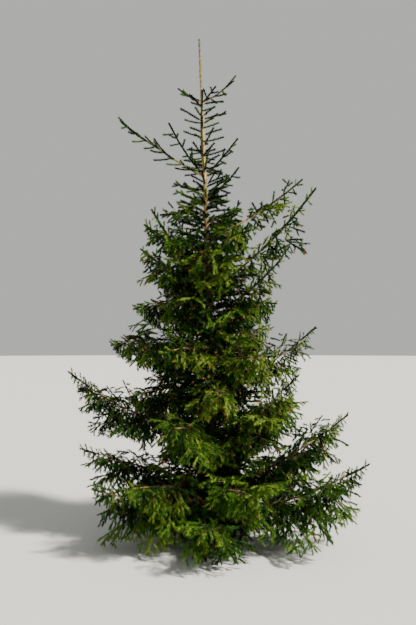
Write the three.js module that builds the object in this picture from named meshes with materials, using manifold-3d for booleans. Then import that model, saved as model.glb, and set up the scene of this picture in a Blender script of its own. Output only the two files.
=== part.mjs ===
// A young Norway spruce, about 4.2 m tall, standing in the open with living boughs down to the grass.
// One trunk runs up through tiers of limbs. Each limb ends in one mass of foliage: a stem with side sprays,
// each a toothed blade whose teeth stand for needled shoots. The longest limbs start as a bare bough.
// Millimetres, +Z up. The origin is the middle of the flat cut under the trunk, at ground level.
import * as THREE from "three";
import { mergeVertices } from "three/addons/utils/BufferGeometryUtils.js";
import Module from "manifold-3d";

const wasm = await Module();
wasm.setup();

// The trunk
const HEIGHT = 4220;
const LEAN = 135; // how far the tip stands to the left of the foot
const LEAN_CURVE = 1.3;
const SWAY = 14; // slow bend towards and away from the viewer
const TIP_RADIUS = 4.5;
const TAPER = 0.0088; // radius gained for each millimetre below the tip
const FLARE = 0.42; // extra radius at the ground, as a share, where the roots begin
const FLARE_HEIGHT = 95;
const ROOT_LOBES = 5;
const TRUNK_SIDES = 15;
const TRUNK_RINGS = [0, 45, 105, 200, 380, 700, 1180, 1800, 2490, 3030, 3670, 3950, HEIGHT];

// Limbs
const GAP = 0.3; // between each piece and what carries it
const BOUGH_SIDES = 6;
const LIMB_RADIUS = 3.4; // at the trunk, for a limb of no length
const LIMB_RADIUS_GROWTH = 0.0088; // added for each millimetre of reach
const LIMB_TIP_RADIUS = 3;
const LIMB_SWEEP = 0.1; // sideways bend of a limb, as a share of its reach
const LIMB_CURL = 2.1; // how late a limb bends up: its rise grows as this power of the way out

// Foliage
const HANG_FROM = 3000; // above this height the shoots lie flat beside their limb
const HANG_FULL = 2250; // below this height they hang from it as a comb
const FIRST_SHOOT = 0.1; // share of a limb from the trunk that is clear of shoots
const SHOOT_SPACING = [70, 100]; // along a flat limb, along a hanging one
const SHOOT_WIDTH = [0.45, 1]; // width at the foot, as a share of the spacing
const SHOOT_ANGLE = 54; // degrees between a flat shoot and its limb
const SHOOT_SHARE = 0.42; // longest flat shoot, as a share of the limb's reach
const LONGEST_SHOOT = 230;
const CURTAIN_DEPTH = 480; // longest hanging shoot, on a level limb
const STEEP_CUT = 0.4; // share of that which a limb loses that rises as much as it reaches
const NOTCH = [0.08, 0.52]; // how far out the notches lie beside the shoots: on a flat limb, on a hanging one
const SPRAYS = [1.1, 3.8]; // sprays above the comb: on a limb of no length, and on one of LONG_REACH
const LONG_REACH = 1200;
const SPRAY_FROM = 0.25; // only limbs that hang more than this have them
const SPRAY_SPREAD = 0.86; // longest spray, as a share of the limb's reach
const SHORTEST_SPRAY = 110;
const LONGEST_SPRAY = 560;
const SPRAY_ANGLE = 56;
const SPRAY_DROOPS = [0.1, 0.4]; // slopes of the sprays in turn
const TOOTH_SPACING = 130;
const MOST_TEETH = 3;
const TOOTH_SHARE = 0.62; // longest tooth, as a share of its spray
const LONGEST_TOOTH = 280;
const FOLD = 30; // degrees that the teeth hang below the spray's rib
const RIB_THICKNESS = 0.035; // of a spray, as a share of its length
const ROOT_DEPTH = 4; // how deep a spray is sunk in its stem
const CURTAIN_MIDDLE = 170; // how far below a hanging limb the middle of its own space lies
const CLEARANCE = 8; // from the next limb's space, other limbs, the trunk and the ground

// Limbs, tier by tier: direction in degrees, 0 to the right and 90 away from the viewer, height on the trunk,
// level reach, rise of the tip over the foot, slope at the trunk, and the share of it that is bare bough
const TIERS = {
  top: {
    right: [15, 3670, 300, 260, 0.35],
    right_front: [-55, 3655, 200, 80, 0.5],
    left: [188, 3665, 200, 110, 0.3],
    left_back: [150, 3680, 190, 115, 0.4],
  },
  leader: {
    right: [8, 3520, 200, 60, 0.3],
  },
  crown: {
    left: [185, 3020, 700, 450, 0.5],
    left_front: [217, 3035, 360, 370, 0.8],
    front: [-92, 3010, 450, 570, 0.9],
    right: [5, 3030, 280, 330, 1.0],
    back: [95, 3040, 450, 400, 0.7],
  },
  spire: {
    left: [185, 2900, 260, 60, 0.2],
    right: [-15, 2830, 285, 250, 0.6],
    back: [80, 2800, 360, 150, 0.5],
  },
  shoulder: {
    right: [2, 2640, 300, 10, 0.2],
    left: [180, 2700, 380, 0, 0.12],
  },
  upper: {
    right: [5, 2490, 820, 530, 0.42, 0.34],
    right_back: [62, 2500, 600, 330, 0.45],
    left_back: [118, 2420, 570, 250, 0.4],
    left: [166, 2320, 560, 320, 0.42],
    right_front: [-48, 2370, 480, 130, 0.4],
  },
  neck: {
    right: [-15, 2060, 890, 800, 0.6, 0.32],
    back: [78, 2160, 660, 260, 0.4],
    left_back: [150, 2060, 700, 400, 0.45],
    left: [200, 2110, 490, 590, 0.85],
    front: [-92, 2180, 480, 140, 0.4],
  },
  waist: {
    left: [188, 1960, 620, -60, 0.14],
    left_front: [218, 1840, 560, 480, 0.7],
    right_front: [-30, 1770, 640, 500, 0.6],
    right: [16, 1900, 600, 60, 0.25],
    back: [100, 1780, 700, 160, 0.3],
  },
  middle: {
    left: [172, 1600, 850, 0, 0.2],
    right_back: [42, 1600, 700, 150, 0.25],
    right_front: [-40, 1450, 640, 60, 0.2],
    left_front: [-126, 1560, 600, -20, 0.16],
    left_back: [128, 1420, 800, 60, 0.2],
  },
  girth: {
    right: [0, 1180, 860, 560, 0.42, 0.34],
    back: [80, 1240, 860, 140, 0.2],
    left: [192, 1230, 700, -60, 0.14],
    front: [-84, 1240, 700, -20, 0.16],
  },
  lower: {
    left: [182, 840, 1190, 530, 0.14, 0.36],
    right_front: [-40, 770, 820, 600, 0.5],
    left_back: [140, 900, 960, 190, 0.2],
    right_back: [40, 860, 980, 260, 0.24],
    front: [-112, 880, 840, 130, 0.2],
  },
  skirt: {
    right: [5, 400, 1130, 600, 0.36],
    left: [178, 440, 1110, 290, 0.2],
    back: [90, 480, 1090, 180, 0.16],
    left_front: [-136, 470, 980, 90, 0.12],
    right_front: [-72, 450, 900, 100, 0.12],
  },
  hem: {
    right_front: [-25, 210, 1250, 500, 0.16, 0.3],
    left_front: [212, 240, 1060, 300, 0.14],
    right_back: [50, 230, 1130, 190, 0.12],
    left_back: [130, 220, 1110, 170, 0.1],
    front: [-95, 190, 980, 190, 0.06],
  },
};

const BARK = new THREE.MeshStandardMaterial({ color: 0x8c7a60, roughness: 0.92, metalness: 0 });
const BOUGH_BARK = new THREE.MeshStandardMaterial({ color: 0xa08f6c, roughness: 0.9, metalness: 0 });
const NEEDLES = new THREE.MeshStandardMaterial({ color: 0x2f4a1c, roughness: 0.75, metalness: 0 });

const UP = new THREE.Vector3(0, 0, 1);

// A number from -1 to 1 that depends only on the three it is given, so that the tree is the same each time.
function chance(limb, twig, salt) {
  const wave = Math.sin(limb * 12.9898 + twig * 78.233 + salt * 37.719) * 43758.5453;
  return 2 * (wave - Math.floor(wave)) - 1;
}

function trunkAxis(z) {
  const x = -LEAN * Math.pow(z / HEIGHT, LEAN_CURVE);
  return new THREE.Vector3(x, SWAY * Math.sin((z / HEIGHT) * 5.2), z);
}

function trunkRadius(z) {
  return TIP_RADIUS + TAPER * (HEIGHT - z);
}

// A closed solid through rings of points, each ring with the same number of corners, capped at both ends.
function solidFromRings(rings) {
  const sides = rings[0].length;
  const position = rings.flat().flatMap((p) => [p.x, p.y, p.z]);
  const index = [];
  for (let r = 0; r + 1 < rings.length; r++) {
    for (let s = 0; s < sides; s++) {
      const a = r * sides + s;
      const b = r * sides + ((s + 1) % sides);
      index.push(a, b, b + sides, a, b + sides, a + sides);
    }
  }
  const last = (rings.length - 1) * sides;
  for (let s = 1; s + 1 < sides; s++) {
    index.push(0, s + 1, s, last, last + s, last + s + 1);
  }
  return solidFromTriangles(position, index);
}

function solidFromTriangles(position, index) {
  return new wasm.Manifold(
    new wasm.Mesh({
      numProp: 3,
      vertProperties: new Float32Array(position),
      triVerts: new Uint32Array(index),
    }),
  );
}

function geometryFromSolid(solid) {
  const mesh = solid.getMesh();
  const geometry = new THREE.BufferGeometry();
  geometry.setAttribute("position", new THREE.BufferAttribute(mesh.vertProperties, 3));
  geometry.setIndex(new THREE.BufferAttribute(mesh.triVerts, 1));
  return mergeVertices(geometry, 1e-3);
}

// The trunk, level ring by level ring, or a copy that is fatter all round for cutting what meets it.
function trunkSolid(extra = 0) {
  const rings = TRUNK_RINGS.map((z) => {
    const axis = trunkAxis(z);
    const flare = FLARE * Math.exp(-z / FLARE_HEIGHT);
    const ring = [];
    for (let s = 0; s < TRUNK_SIDES; s++) {
      const angle = (s / TRUNK_SIDES) * 2 * Math.PI;
      const lobe = 1 + flare * (1 + 0.35 * Math.cos(ROOT_LOBES * angle));
      const radius = trunkRadius(z) * lobe + extra;
      ring.push(new THREE.Vector3(axis.x + radius * Math.cos(angle), axis.y + radius * Math.sin(angle), z));
    }
    return ring;
  });
  return solidFromRings(rings);
}

// The line of a limb from the trunk's axis, at t 0, to its tip, at t 1.
function limbPoint(limb, t) {
  const angle = THREE.MathUtils.degToRad(limb.azimuth);
  const out = limb.reach * t;
  const aside = limb.sweep * limb.reach * t * (1 - t) * 2;
  const rise = limb.slope * out + (limb.rise - limb.slope * limb.reach) * Math.pow(t, LIMB_CURL);
  return limb.foot
    .clone()
    .add(new THREE.Vector3(Math.cos(angle) * out, Math.sin(angle) * out, rise))
    .add(new THREE.Vector3(-Math.sin(angle) * aside, Math.cos(angle) * aside, 0));
}

function limbTangent(limb, t) {
  const step = 0.01;
  return limbPoint(limb, t + step).sub(limbPoint(limb, Math.max(t - step, 0))).normalize();
}

function limbRadius(limb, t) {
  const foot = LIMB_RADIUS + LIMB_RADIUS_GROWTH * limb.reach;
  return LIMB_TIP_RADIUS + (foot - LIMB_TIP_RADIUS) * Math.pow(1 - t, 1.1);
}

// A stretch of limb as a tapering solid.
function limbSolid(limb, from, to, sides, steps) {
  const rings = [];
  for (let k = 0; k <= steps; k++) {
    const t = from + ((to - from) * k) / steps;
    const tangent = limbTangent(limb, t);
    const across = new THREE.Vector3().crossVectors(tangent, UP).normalize();
    const above = new THREE.Vector3().crossVectors(across, tangent);
    const middle = limbPoint(limb, t);
    const radius = limbRadius(limb, t);
    const ring = [];
    for (let s = 0; s < sides; s++) {
      const angle = (s / sides) * 2 * Math.PI + Math.PI / 2;
      ring.push(
        middle
          .clone()
          .addScaledVector(across, -radius * Math.cos(angle))
          .addScaledVector(above, radius * Math.sin(angle)),
      );
    }
    rings.push(ring);
  }
  return solidFromRings(rings);
}

function makeLimbs() {
  const limbs = [];
  for (const [tier, places] of Object.entries(TIERS)) {
    for (const [place, [azimuth, height, reach, rise, slope, bare = 0]] of Object.entries(places)) {
      const number = limbs.length;
      const limb = { name: tier + "_" + place, number, azimuth, height, reach, rise, slope, bare };
      limb.foot = trunkAxis(height);
      limb.sweep = LIMB_SWEEP * chance(number, 0, 1);
      limb.hang = THREE.MathUtils.clamp((HANG_FROM - height) / (HANG_FROM - HANG_FULL), 0, 1);
      limb.line = [];
      limb.middle = [];
      for (let k = 0; k <= 14; k++) {
        const point = limbPoint(limb, k / 14);
        limb.line.push(point);
        limb.middle.push(point.clone().addScaledVector(UP, -CURTAIN_MIDDLE * limb.hang * (1 - k / 14)));
      }
      limbs.push(limb);
    }
  }
  return limbs;
}

function distanceToLine(point, line) {
  let nearest = Infinity;
  const closest = new THREE.Vector3();
  for (let k = 0; k + 1 < line.length; k++) {
    new THREE.Line3(line[k], line[k + 1]).closestPointToPoint(point, true, closest);
    nearest = Math.min(nearest, closest.distanceTo(point));
  }
  return nearest;
}

// A limb's own space is what lies nearer to its curtain's middle line than to any other limb's,
// above ground and clear of the trunk and of every other limb.
function inOwnSpace(point, limb, limbs) {
  if (point.z < CLEARANCE || point.z > HEIGHT) return false;
  const axis = trunkAxis(point.z);
  const fromTrunk = Math.hypot(point.x - axis.x, point.y - axis.y);
  if (fromTrunk < trunkRadius(point.z) * (1 + FLARE * Math.exp(-point.z / FLARE_HEIGHT)) + CLEARANCE) return false;
  const own = distanceToLine(point, limb.middle) + CLEARANCE;
  return limbs.every(
    (other) =>
      other === limb ||
      (distanceToLine(point, other.middle) > own && distanceToLine(point, other.line) > 2 * CLEARANCE),
  );
}

// The longest share of the way from one point to another on which every step passes a test, or 0.
function roomTowards(from, to, passes) {
  for (const share of [1, 0.88, 0.76, 0.64, 0.52, 0.42, 0.32, 0.24]) {
    if ([0.4, 0.6, 0.8, 1].every((s) => passes(from.clone().lerp(to, s * share)))) return share;
  }
  return 0;
}

// A blade with pointed teeth on both sides of a rib. Each station gives the rib's top and bottom and
// the notches beside it. Each entry of teeth gives the two points between that station and the next.
function toothedBlade(stations, teeth, tip) {
  const position = [];
  const index = [];
  const add = (point) => {
    position.push(point.x, point.y, point.z);
    return position.length / 3 - 1;
  };
  const face = (wing, a, b, c) => (wing > 0 ? index.push(a, b, c) : index.push(a, c, b));
  const rows = stations.map(({ top, bottom, notch }) => ({
    top: add(top),
    bottom: add(bottom),
    notch: { 1: add(notch[1]), [-1]: add(notch[-1]) },
  }));
  const end = add(tip);
  rows.forEach((here, k) => {
    const next = rows[k + 1];
    for (const wing of [1, -1]) {
      if (!next) {
        face(wing, here.top, here.notch[wing], end);
        face(wing, here.bottom, end, here.notch[wing]);
      } else if (!teeth[k]) {
        face(wing, here.top, here.notch[wing], next.notch[wing]);
        face(wing, here.top, next.notch[wing], next.top);
        face(wing, here.bottom, next.notch[wing], here.notch[wing]);
        face(wing, here.bottom, next.bottom, next.notch[wing]);
      } else {
        const point = add(teeth[k][wing]);
        face(wing, here.top, here.notch[wing], point);
        face(wing, here.top, point, next.top);
        face(wing, next.top, point, next.notch[wing]);
        face(wing, here.bottom, point, here.notch[wing]);
        face(wing, here.bottom, next.bottom, point);
        face(wing, next.bottom, next.notch[wing], point);
      }
    }
  });
  const root = rows[0];
  index.push(root.top, root.bottom, root.notch[1], root.top, root.notch[-1], root.bottom);
  return solidFromTriangles(position, index);
}

// Which way the shoots of the comb point at a place on the limb: sideways when flat, down when hanging.
function shootDirection(limb, t, wing, twist) {
  const tangent = limbTangent(limb, t);
  const across = new THREE.Vector3().crossVectors(tangent, UP).normalize();
  const lean = THREE.MathUtils.degToRad(SHOOT_ANGLE + 6 * twist);
  const flat = tangent.clone().multiplyScalar(Math.cos(lean)).addScaledVector(across, wing * Math.sin(lean));
  const hanging = tangent.multiplyScalar(0.25).addScaledVector(across, wing * (0.5 + 0.3 * twist)).sub(UP);
  return flat.lerp(hanging, limb.hang).normalize();
}

// The limb itself with a row of shoots on each side, which reaches its tip.
function combSolid(limb, limbs, from) {
  const pick = (pair) => THREE.MathUtils.lerp(...pair, limb.hang);
  const first = Math.max(from + 0.03, FIRST_SHOOT);
  const count = Math.max(3, Math.round(((1 - first) * limb.reach) / pick(SHOOT_SPACING)));
  const step = (1 - first) / (count + 0.8);
  const width = step * pick(SHOOT_WIDTH);
  const steepness = THREE.MathUtils.clamp(limb.rise / limb.reach, 0, 1);
  const depth = CURTAIN_DEPTH * (1 - STEEP_CUT * steepness) * Math.min(1, 0.55 + limb.reach / 1400);
  const passes = (point) => inOwnSpace(point, limb, limbs);
  const places = [from];
  const teeth = [null];
  const out = [{ 1: 0, [-1]: 0 }];
  for (let k = 0; k < count; k++) {
    const start = first + k * step;
    const t = start + width / 2;
    const foot = limbPoint(limb, t);
    const points = {};
    const lengths = {};
    for (const wing of [1, -1]) {
      const uneven = 1 + 0.22 * chance(limb.number, k, 4 + wing);
      const flat = Math.min(SHOOT_SHARE * limb.reach * Math.pow(1 - t, 0.7), LONGEST_SHOOT);
      const hanging = depth * Math.pow(1 - t, 0.75);
      const wanted = THREE.MathUtils.lerp(flat, hanging, limb.hang) * uneven;
      const far = foot.clone().addScaledVector(shootDirection(limb, t, wing, chance(limb.number, k, wing)), wanted);
      const share = Math.max(roomTowards(foot, far, passes), 0.07);
      points[wing] = foot.clone().lerp(far, share);
      lengths[wing] = wanted * share;
    }
    places.push(start);
    teeth.push(points);
    out.push(lengths);
    if (width < 0.99 * step) {
      places.push(start + width);
      teeth.push(null);
      out.push(lengths);
    }
  }
  places.push(first + count * step);
  const stations = places.map((t, k) => {
    const radius = Math.max(limbRadius(limb, t), t > 0.5 ? 6 : 0);
    const middle = limbPoint(limb, t);
    const tangent = limbTangent(limb, t);
    const across = new THREE.Vector3().crossVectors(tangent, UP).normalize();
    const above = new THREE.Vector3().crossVectors(across, tangent);
    const notch = {};
    for (const wing of [1, -1]) {
      const before = out[Math.max(k - 1, 1)][wing];
      const beyond = k < out.length ? out[Math.max(k, 1)][wing] : 0.4 * before;
      const reach = Math.max(radius, pick(NOTCH) * Math.min(before, beyond));
      notch[wing] = middle.clone();
      if (k < 2) notch[wing].addScaledVector(across, wing * radius);
      else notch[wing].addScaledVector(shootDirection(limb, t, wing, 0), reach);
    }
    return {
      top: middle.clone().addScaledVector(above, radius),
      bottom: middle.clone().addScaledVector(above, -radius),
      notch,
    };
  });
  return toothedBlade(stations, teeth, limbPoint(limb, 1));
}

// The ribs of the sprays that stand out of a mass above its comb, both sides in turn.
function sprayRibs(limb, limbs, from) {
  if (limb.hang < SPRAY_FROM) return [];
  const ribs = [];
  const first = Math.max(from + 0.04, FIRST_SHOOT + 0.02);
  const count = Math.round(THREE.MathUtils.mapLinear(limb.reach, 0, LONG_REACH, ...SPRAYS));
  for (let k = 0; k < count; k++) {
    const t = first + ((0.8 - first) * (k + 0.25)) / count;
    const side = (k + limb.number) % 2 ? 1 : -1;
    const tangent = limbTangent(limb, t);
    const across = new THREE.Vector3().crossVectors(tangent, UP).normalize();
    const lean = THREE.MathUtils.degToRad(SPRAY_ANGLE + 7 * chance(limb.number, k, 2));
    const droop = limb.hang * SPRAY_DROOPS[k % SPRAY_DROOPS.length] * (1 + 0.2 * chance(limb.number, k, 3));
    const along = tangent
      .multiplyScalar(Math.cos(lean))
      .addScaledVector(across, side * Math.sin(lean))
      .addScaledVector(UP, -droop)
      .normalize();
    const fullness = Math.pow(1 - t, 0.95) * (1 + 0.1 * chance(limb.number, k, 4));
    const wish = THREE.MathUtils.clamp(SPRAY_SPREAD * limb.reach * fullness, SHORTEST_SPRAY, LONGEST_SPRAY);
    const foot = limbPoint(limb, t);
    const far = foot.clone().addScaledVector(along, wish);
    const length = wish * roomTowards(foot, far, (point) => inOwnSpace(point, limb, limbs));
    if (length < 0.7 * SHORTEST_SPRAY) continue;
    const tip = foot.clone().addScaledVector(along, length);
    ribs.push({ foot, along, length, line: [foot, tip], start: limbRadius(limb, t) - ROOT_DEPTH });
  }
  return ribs;
}

// One spray: a blade folded along its rib. No tooth passes half of the way to the next spray.
function spraySolid(limb, limbs, ribs, rib, number) {
  const { along, length, start } = rib;
  const level = new THREE.Vector3().crossVectors(along, UP).normalize();
  const above = new THREE.Vector3().crossVectors(level, along);
  const fold = THREE.MathUtils.degToRad(FOLD * limb.hang);
  const count = THREE.MathUtils.clamp(Math.round(length / TOOTH_SPACING), 1, MOST_TEETH);
  const thick = Math.max(RIB_THICKNESS * length, 7) / 2;
  const onRib = (s) => rib.foot.clone().addScaledVector(along, start + (length - start) * s);
  const beside = (s, wing, width, forward) =>
    onRib(s)
      .addScaledVector(along, forward)
      .addScaledVector(level, wing * width * Math.cos(fold))
      .addScaledVector(above, -width * Math.sin(fold));
  const free = (point) => {
    const own = distanceToLine(point, rib.line);
    const clearOfSprays = ribs.every((other) => other === rib || distanceToLine(point, other.line) > own);
    return clearOfSprays && inOwnSpace(point, limb, limbs);
  };
  const stations = [];
  const teeth = [];
  const out = [];
  for (let k = 0; k < count; k++) {
    const middle = (k + 0.5) / (count + 0.6);
    const longest = Math.min(TOOTH_SHARE * length * Math.pow(1 - middle, 0.5), LONGEST_TOOTH);
    teeth[k] = {};
    out[k] = {};
    for (const wing of [1, -1]) {
      const tooth = longest * (1 + 0.16 * chance(limb.number, number * 9 + k, 5 + wing));
      const wish = beside(middle, wing, 0.86 * tooth, 0.5 * tooth);
      const share = Math.max(roomTowards(onRib(middle), wish, free), 0.08);
      teeth[k][wing] = onRib(middle).lerp(wish, share);
      out[k][wing] = 0.86 * tooth * share;
    }
  }
  for (let k = 0; k <= count; k++) {
    const s = k / (count + 0.6);
    const half = thick * (1 - 0.5 * s);
    const notch = {};
    for (const wing of [1, -1]) {
      const before = k > 0 ? out[k - 1][wing] : 0.3 * out[0][wing];
      const beyond = k < count ? out[k][wing] : 0.3 * before;
      notch[wing] = beside(s, wing, Math.max(NOTCH[1] * Math.min(before, beyond), 1.2 * half), 0);
    }
    stations.push({
      top: onRib(s).addScaledVector(above, half),
      bottom: onRib(s).addScaledVector(above, -half),
      notch,
    });
  }
  return toothedBlade(stations, teeth, onRib(1));
}

// One mass: the limb's comb of shoots with the sprays that stand out above it.
function massSolid(limb, limbs, from) {
  const ribs = sprayRibs(limb, limbs, from);
  const sprays = ribs.map((rib, k) => spraySolid(limb, limbs, ribs, rib, k));
  return wasm.Manifold.union([combSolid(limb, limbs, from), ...sprays]);
}

// Only the largest closed shape is kept: a scrap is dropped, and a sealed hollow is filled.
function wholePiece(solid) {
  return solid.decompose().reduce((best, piece) => (piece.volume() > best.volume() ? piece : best));
}

function buildTree() {
  const tree = new THREE.Group();
  const place = (name, solid, material) => {
    const mesh = new THREE.Mesh(geometryFromSolid(wholePiece(solid)), material);
    mesh.name = name;
    tree.add(mesh);
  };
  place("trunk", trunkSolid(), BARK);
  const trunkRoom = trunkSolid(GAP);
  const limbs = makeLimbs();
  for (const limb of limbs) {
    if (limb.bare > 0) {
      const bough = limbSolid(limb, 0, limb.bare, BOUGH_SIDES, 5).subtract(trunkRoom);
      place("bough_" + limb.name, bough, BOUGH_BARK);
      const from = limb.bare + GAP / limb.reach;
      place("mass_" + limb.name, massSolid(limb, limbs, from), NEEDLES);
    } else {
      place("mass_" + limb.name, massSolid(limb, limbs, 0).subtract(trunkRoom), NEEDLES);
    }
  }
  return tree;
}

export default buildTree();
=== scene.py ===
import math

import bpy
import mathutils
import numpy as np
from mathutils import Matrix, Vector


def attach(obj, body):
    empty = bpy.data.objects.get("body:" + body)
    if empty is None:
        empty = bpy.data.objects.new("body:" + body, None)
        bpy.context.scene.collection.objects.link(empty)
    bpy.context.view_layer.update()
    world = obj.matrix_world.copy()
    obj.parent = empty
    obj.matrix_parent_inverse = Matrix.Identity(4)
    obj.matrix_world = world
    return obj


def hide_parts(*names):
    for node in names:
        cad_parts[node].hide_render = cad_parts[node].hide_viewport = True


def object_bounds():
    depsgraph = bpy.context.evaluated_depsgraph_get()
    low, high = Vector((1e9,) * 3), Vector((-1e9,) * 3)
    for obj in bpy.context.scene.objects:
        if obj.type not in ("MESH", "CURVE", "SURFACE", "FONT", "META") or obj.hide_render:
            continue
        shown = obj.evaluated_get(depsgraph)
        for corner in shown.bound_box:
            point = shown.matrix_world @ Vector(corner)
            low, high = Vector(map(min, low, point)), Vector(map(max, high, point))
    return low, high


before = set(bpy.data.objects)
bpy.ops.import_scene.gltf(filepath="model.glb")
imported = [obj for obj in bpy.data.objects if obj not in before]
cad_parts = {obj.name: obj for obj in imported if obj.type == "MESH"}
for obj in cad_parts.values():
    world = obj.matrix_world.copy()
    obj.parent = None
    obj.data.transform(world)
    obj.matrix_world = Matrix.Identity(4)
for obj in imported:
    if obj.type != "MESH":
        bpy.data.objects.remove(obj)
solid_low, solid_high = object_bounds()

# The trunk: one stem of young spruce wood, as thick as a wrist at the ground and thin as a pencil at the
# tip. Its bark is grey-brown and flaky low down, painted darker there than its own colour as shade inside
# the crown, and smooth golden tan on the last years' growth, with a collar at each limb and a flare over
# the roots, where it is cut off flat at ground level.
TRUNK_HEIGHT = 4.22
TRUNK_LEAN = 0.135
LEAN_CURVE = 1.3
TRUNK_SWAY = 0.014
SWAY_TURN = 5.2
TRUNK_TIP_RADIUS = 0.0045
TRUNK_TAPER = 0.0088
ROOT_FLARE = 0.42
ROOT_FLARE_HEIGHT = 0.095
ROOT_LOBES = 5
ROOT_LOBE_DEPTH = 0.35
COLLAR = (0.0016, 0.0042)
COLLAR_HEIGHT = 0.022
TRUNK_SIDES = 28
TRUNK_RING_SPACING = 0.013
TRUNK_RELIEF = (0.0017, 0.0003)
FINE_BARK_HEIGHT = 3.2
TRUNK_FLAKE = 0.014
SMOOTH_BARK_HEIGHTS = (2.25, 2.85)
UP = np.array([0.0, 0.0, 1.0])

# The limbs by tier. Each has its direction in degrees, 0 to the right and 90 away from the viewer, then
# in metres the height of its foot, its level reach and the rise of its tip over the foot, then its slope
# at the trunk and, where it starts bare of foliage, the share of it that is bare.
TIERS = {
    "top": {
        "right": (15, 3.67, 0.3, 0.26, 0.35),
        "right_front": (-55, 3.655, 0.2, 0.08, 0.5),
        "left": (188, 3.665, 0.2, 0.11, 0.3),
        "left_back": (150, 3.68, 0.19, 0.115, 0.4),
    },
    "leader": {
        "right": (8, 3.52, 0.2, 0.06, 0.3),
    },
    "crown": {
        "left": (185, 3.02, 0.7, 0.45, 0.5),
        "left_front": (217, 3.035, 0.36, 0.37, 0.8),
        "front": (-92, 3.01, 0.45, 0.57, 0.9),
        "right": (5, 3.03, 0.28, 0.33, 1.0),
        "back": (95, 3.04, 0.45, 0.4, 0.7),
    },
    "spire": {
        "left": (185, 2.9, 0.26, 0.06, 0.2),
        "right": (-15, 2.83, 0.285, 0.25, 0.6),
        "back": (80, 2.8, 0.36, 0.15, 0.5),
    },
    "shoulder": {
        "right": (2, 2.64, 0.3, 0.01, 0.2),
        "left": (180, 2.7, 0.38, 0, 0.12),
    },
    "upper": {
        "right": (5, 2.49, 0.82, 0.53, 0.42, 0.34),
        "right_back": (62, 2.5, 0.6, 0.33, 0.45),
        "left_back": (118, 2.42, 0.57, 0.25, 0.4),
        "left": (166, 2.32, 0.56, 0.32, 0.42),
        "right_front": (-48, 2.37, 0.48, 0.13, 0.4),
    },
    "neck": {
        "right": (-15, 2.06, 0.89, 0.8, 0.6, 0.32),
        "back": (78, 2.16, 0.66, 0.26, 0.4),
        "left_back": (150, 2.06, 0.7, 0.4, 0.45),
        "left": (200, 2.11, 0.49, 0.59, 0.85),
        "front": (-92, 2.18, 0.48, 0.14, 0.4),
    },
    "waist": {
        "left": (188, 1.96, 0.62, -0.06, 0.14),
        "left_front": (218, 1.84, 0.56, 0.48, 0.7),
        "right_front": (-30, 1.77, 0.64, 0.5, 0.6),
        "right": (16, 1.9, 0.6, 0.06, 0.25),
        "back": (100, 1.78, 0.7, 0.16, 0.3),
    },
    "middle": {
        "left": (172, 1.6, 0.85, 0, 0.2),
        "right_back": (42, 1.6, 0.7, 0.15, 0.25),
        "right_front": (-40, 1.45, 0.64, 0.06, 0.2),
        "left_front": (-126, 1.56, 0.6, -0.02, 0.16),
        "left_back": (128, 1.42, 0.8, 0.06, 0.2),
    },
    "girth": {
        "right": (0, 1.18, 0.86, 0.56, 0.42, 0.34),
        "back": (80, 1.24, 0.86, 0.14, 0.2),
        "left": (192, 1.23, 0.7, -0.06, 0.14),
        "front": (-84, 1.24, 0.7, -0.02, 0.16),
    },
    "lower": {
        "left": (182, 0.84, 1.19, 0.53, 0.14, 0.36),
        "right_front": (-40, 0.77, 0.82, 0.6, 0.5),
        "left_back": (140, 0.9, 0.96, 0.19, 0.2),
        "right_back": (40, 0.86, 0.98, 0.26, 0.24),
        "front": (-112, 0.88, 0.84, 0.13, 0.2),
    },
    "skirt": {
        "right": (5, 0.4, 1.13, 0.6, 0.36),
        "left": (178, 0.44, 1.11, 0.29, 0.2),
        "back": (90, 0.48, 1.09, 0.18, 0.16),
        "left_front": (-136, 0.47, 0.98, 0.09, 0.12),
        "right_front": (-72, 0.45, 0.9, 0.1, 0.12),
    },
    "hem": {
        "right_front": (-25, 0.21, 1.25, 0.5, 0.16, 0.3),
        "left_front": (212, 0.24, 1.06, 0.3, 0.14),
        "right_back": (50, 0.23, 1.13, 0.19, 0.12),
        "left_back": (130, 0.22, 1.11, 0.17, 0.1),
        "front": (-95, 0.19, 0.98, 0.19, 0.06),
    },
}


CHANCE_STEPS = (12.9898, 78.233, 37.719)
CHANCE_SPREAD = 43758.5453


def chance(limb, twig, salt):
    """A number from -1 to 1 that depends on these three alone, so that each run grows the same tree. The
    salt keeps apart what is drawn for one twig."""
    wave = np.sin(limb * CHANCE_STEPS[0] + twig * CHANCE_STEPS[1] + salt * CHANCE_STEPS[2]) * CHANCE_SPREAD
    return 2 * (wave - np.floor(wave)) - 1


def mix(a, b, share):
    return a + (b - a) * share


def lengths(vectors):
    return np.linalg.norm(vectors, axis=-1)


def dot(a, b):
    return np.sum(a * b, axis=-1, keepdims=True)


def unit(vectors):
    return vectors / np.maximum(np.linalg.norm(vectors, axis=-1, keepdims=True), 1e-9)


def even_turns(count):
    """The angles of that many even steps of a full turn."""
    return np.arange(count) / count * 2 * np.pi


def level_directions(angles):
    return np.stack([np.cos(angles), np.sin(angles), 0 * angles], axis=-1)


def trunk_axis(z):
    z = np.asarray(z, float)
    share = np.clip(z / TRUNK_HEIGHT, 0, 1)
    return np.stack([-TRUNK_LEAN * share**LEAN_CURVE, TRUNK_SWAY * np.sin(share * SWAY_TURN), z], axis=-1)


def trunk_radius(z):
    return TRUNK_TIP_RADIUS + TRUNK_TAPER * (TRUNK_HEIGHT - z)


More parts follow.
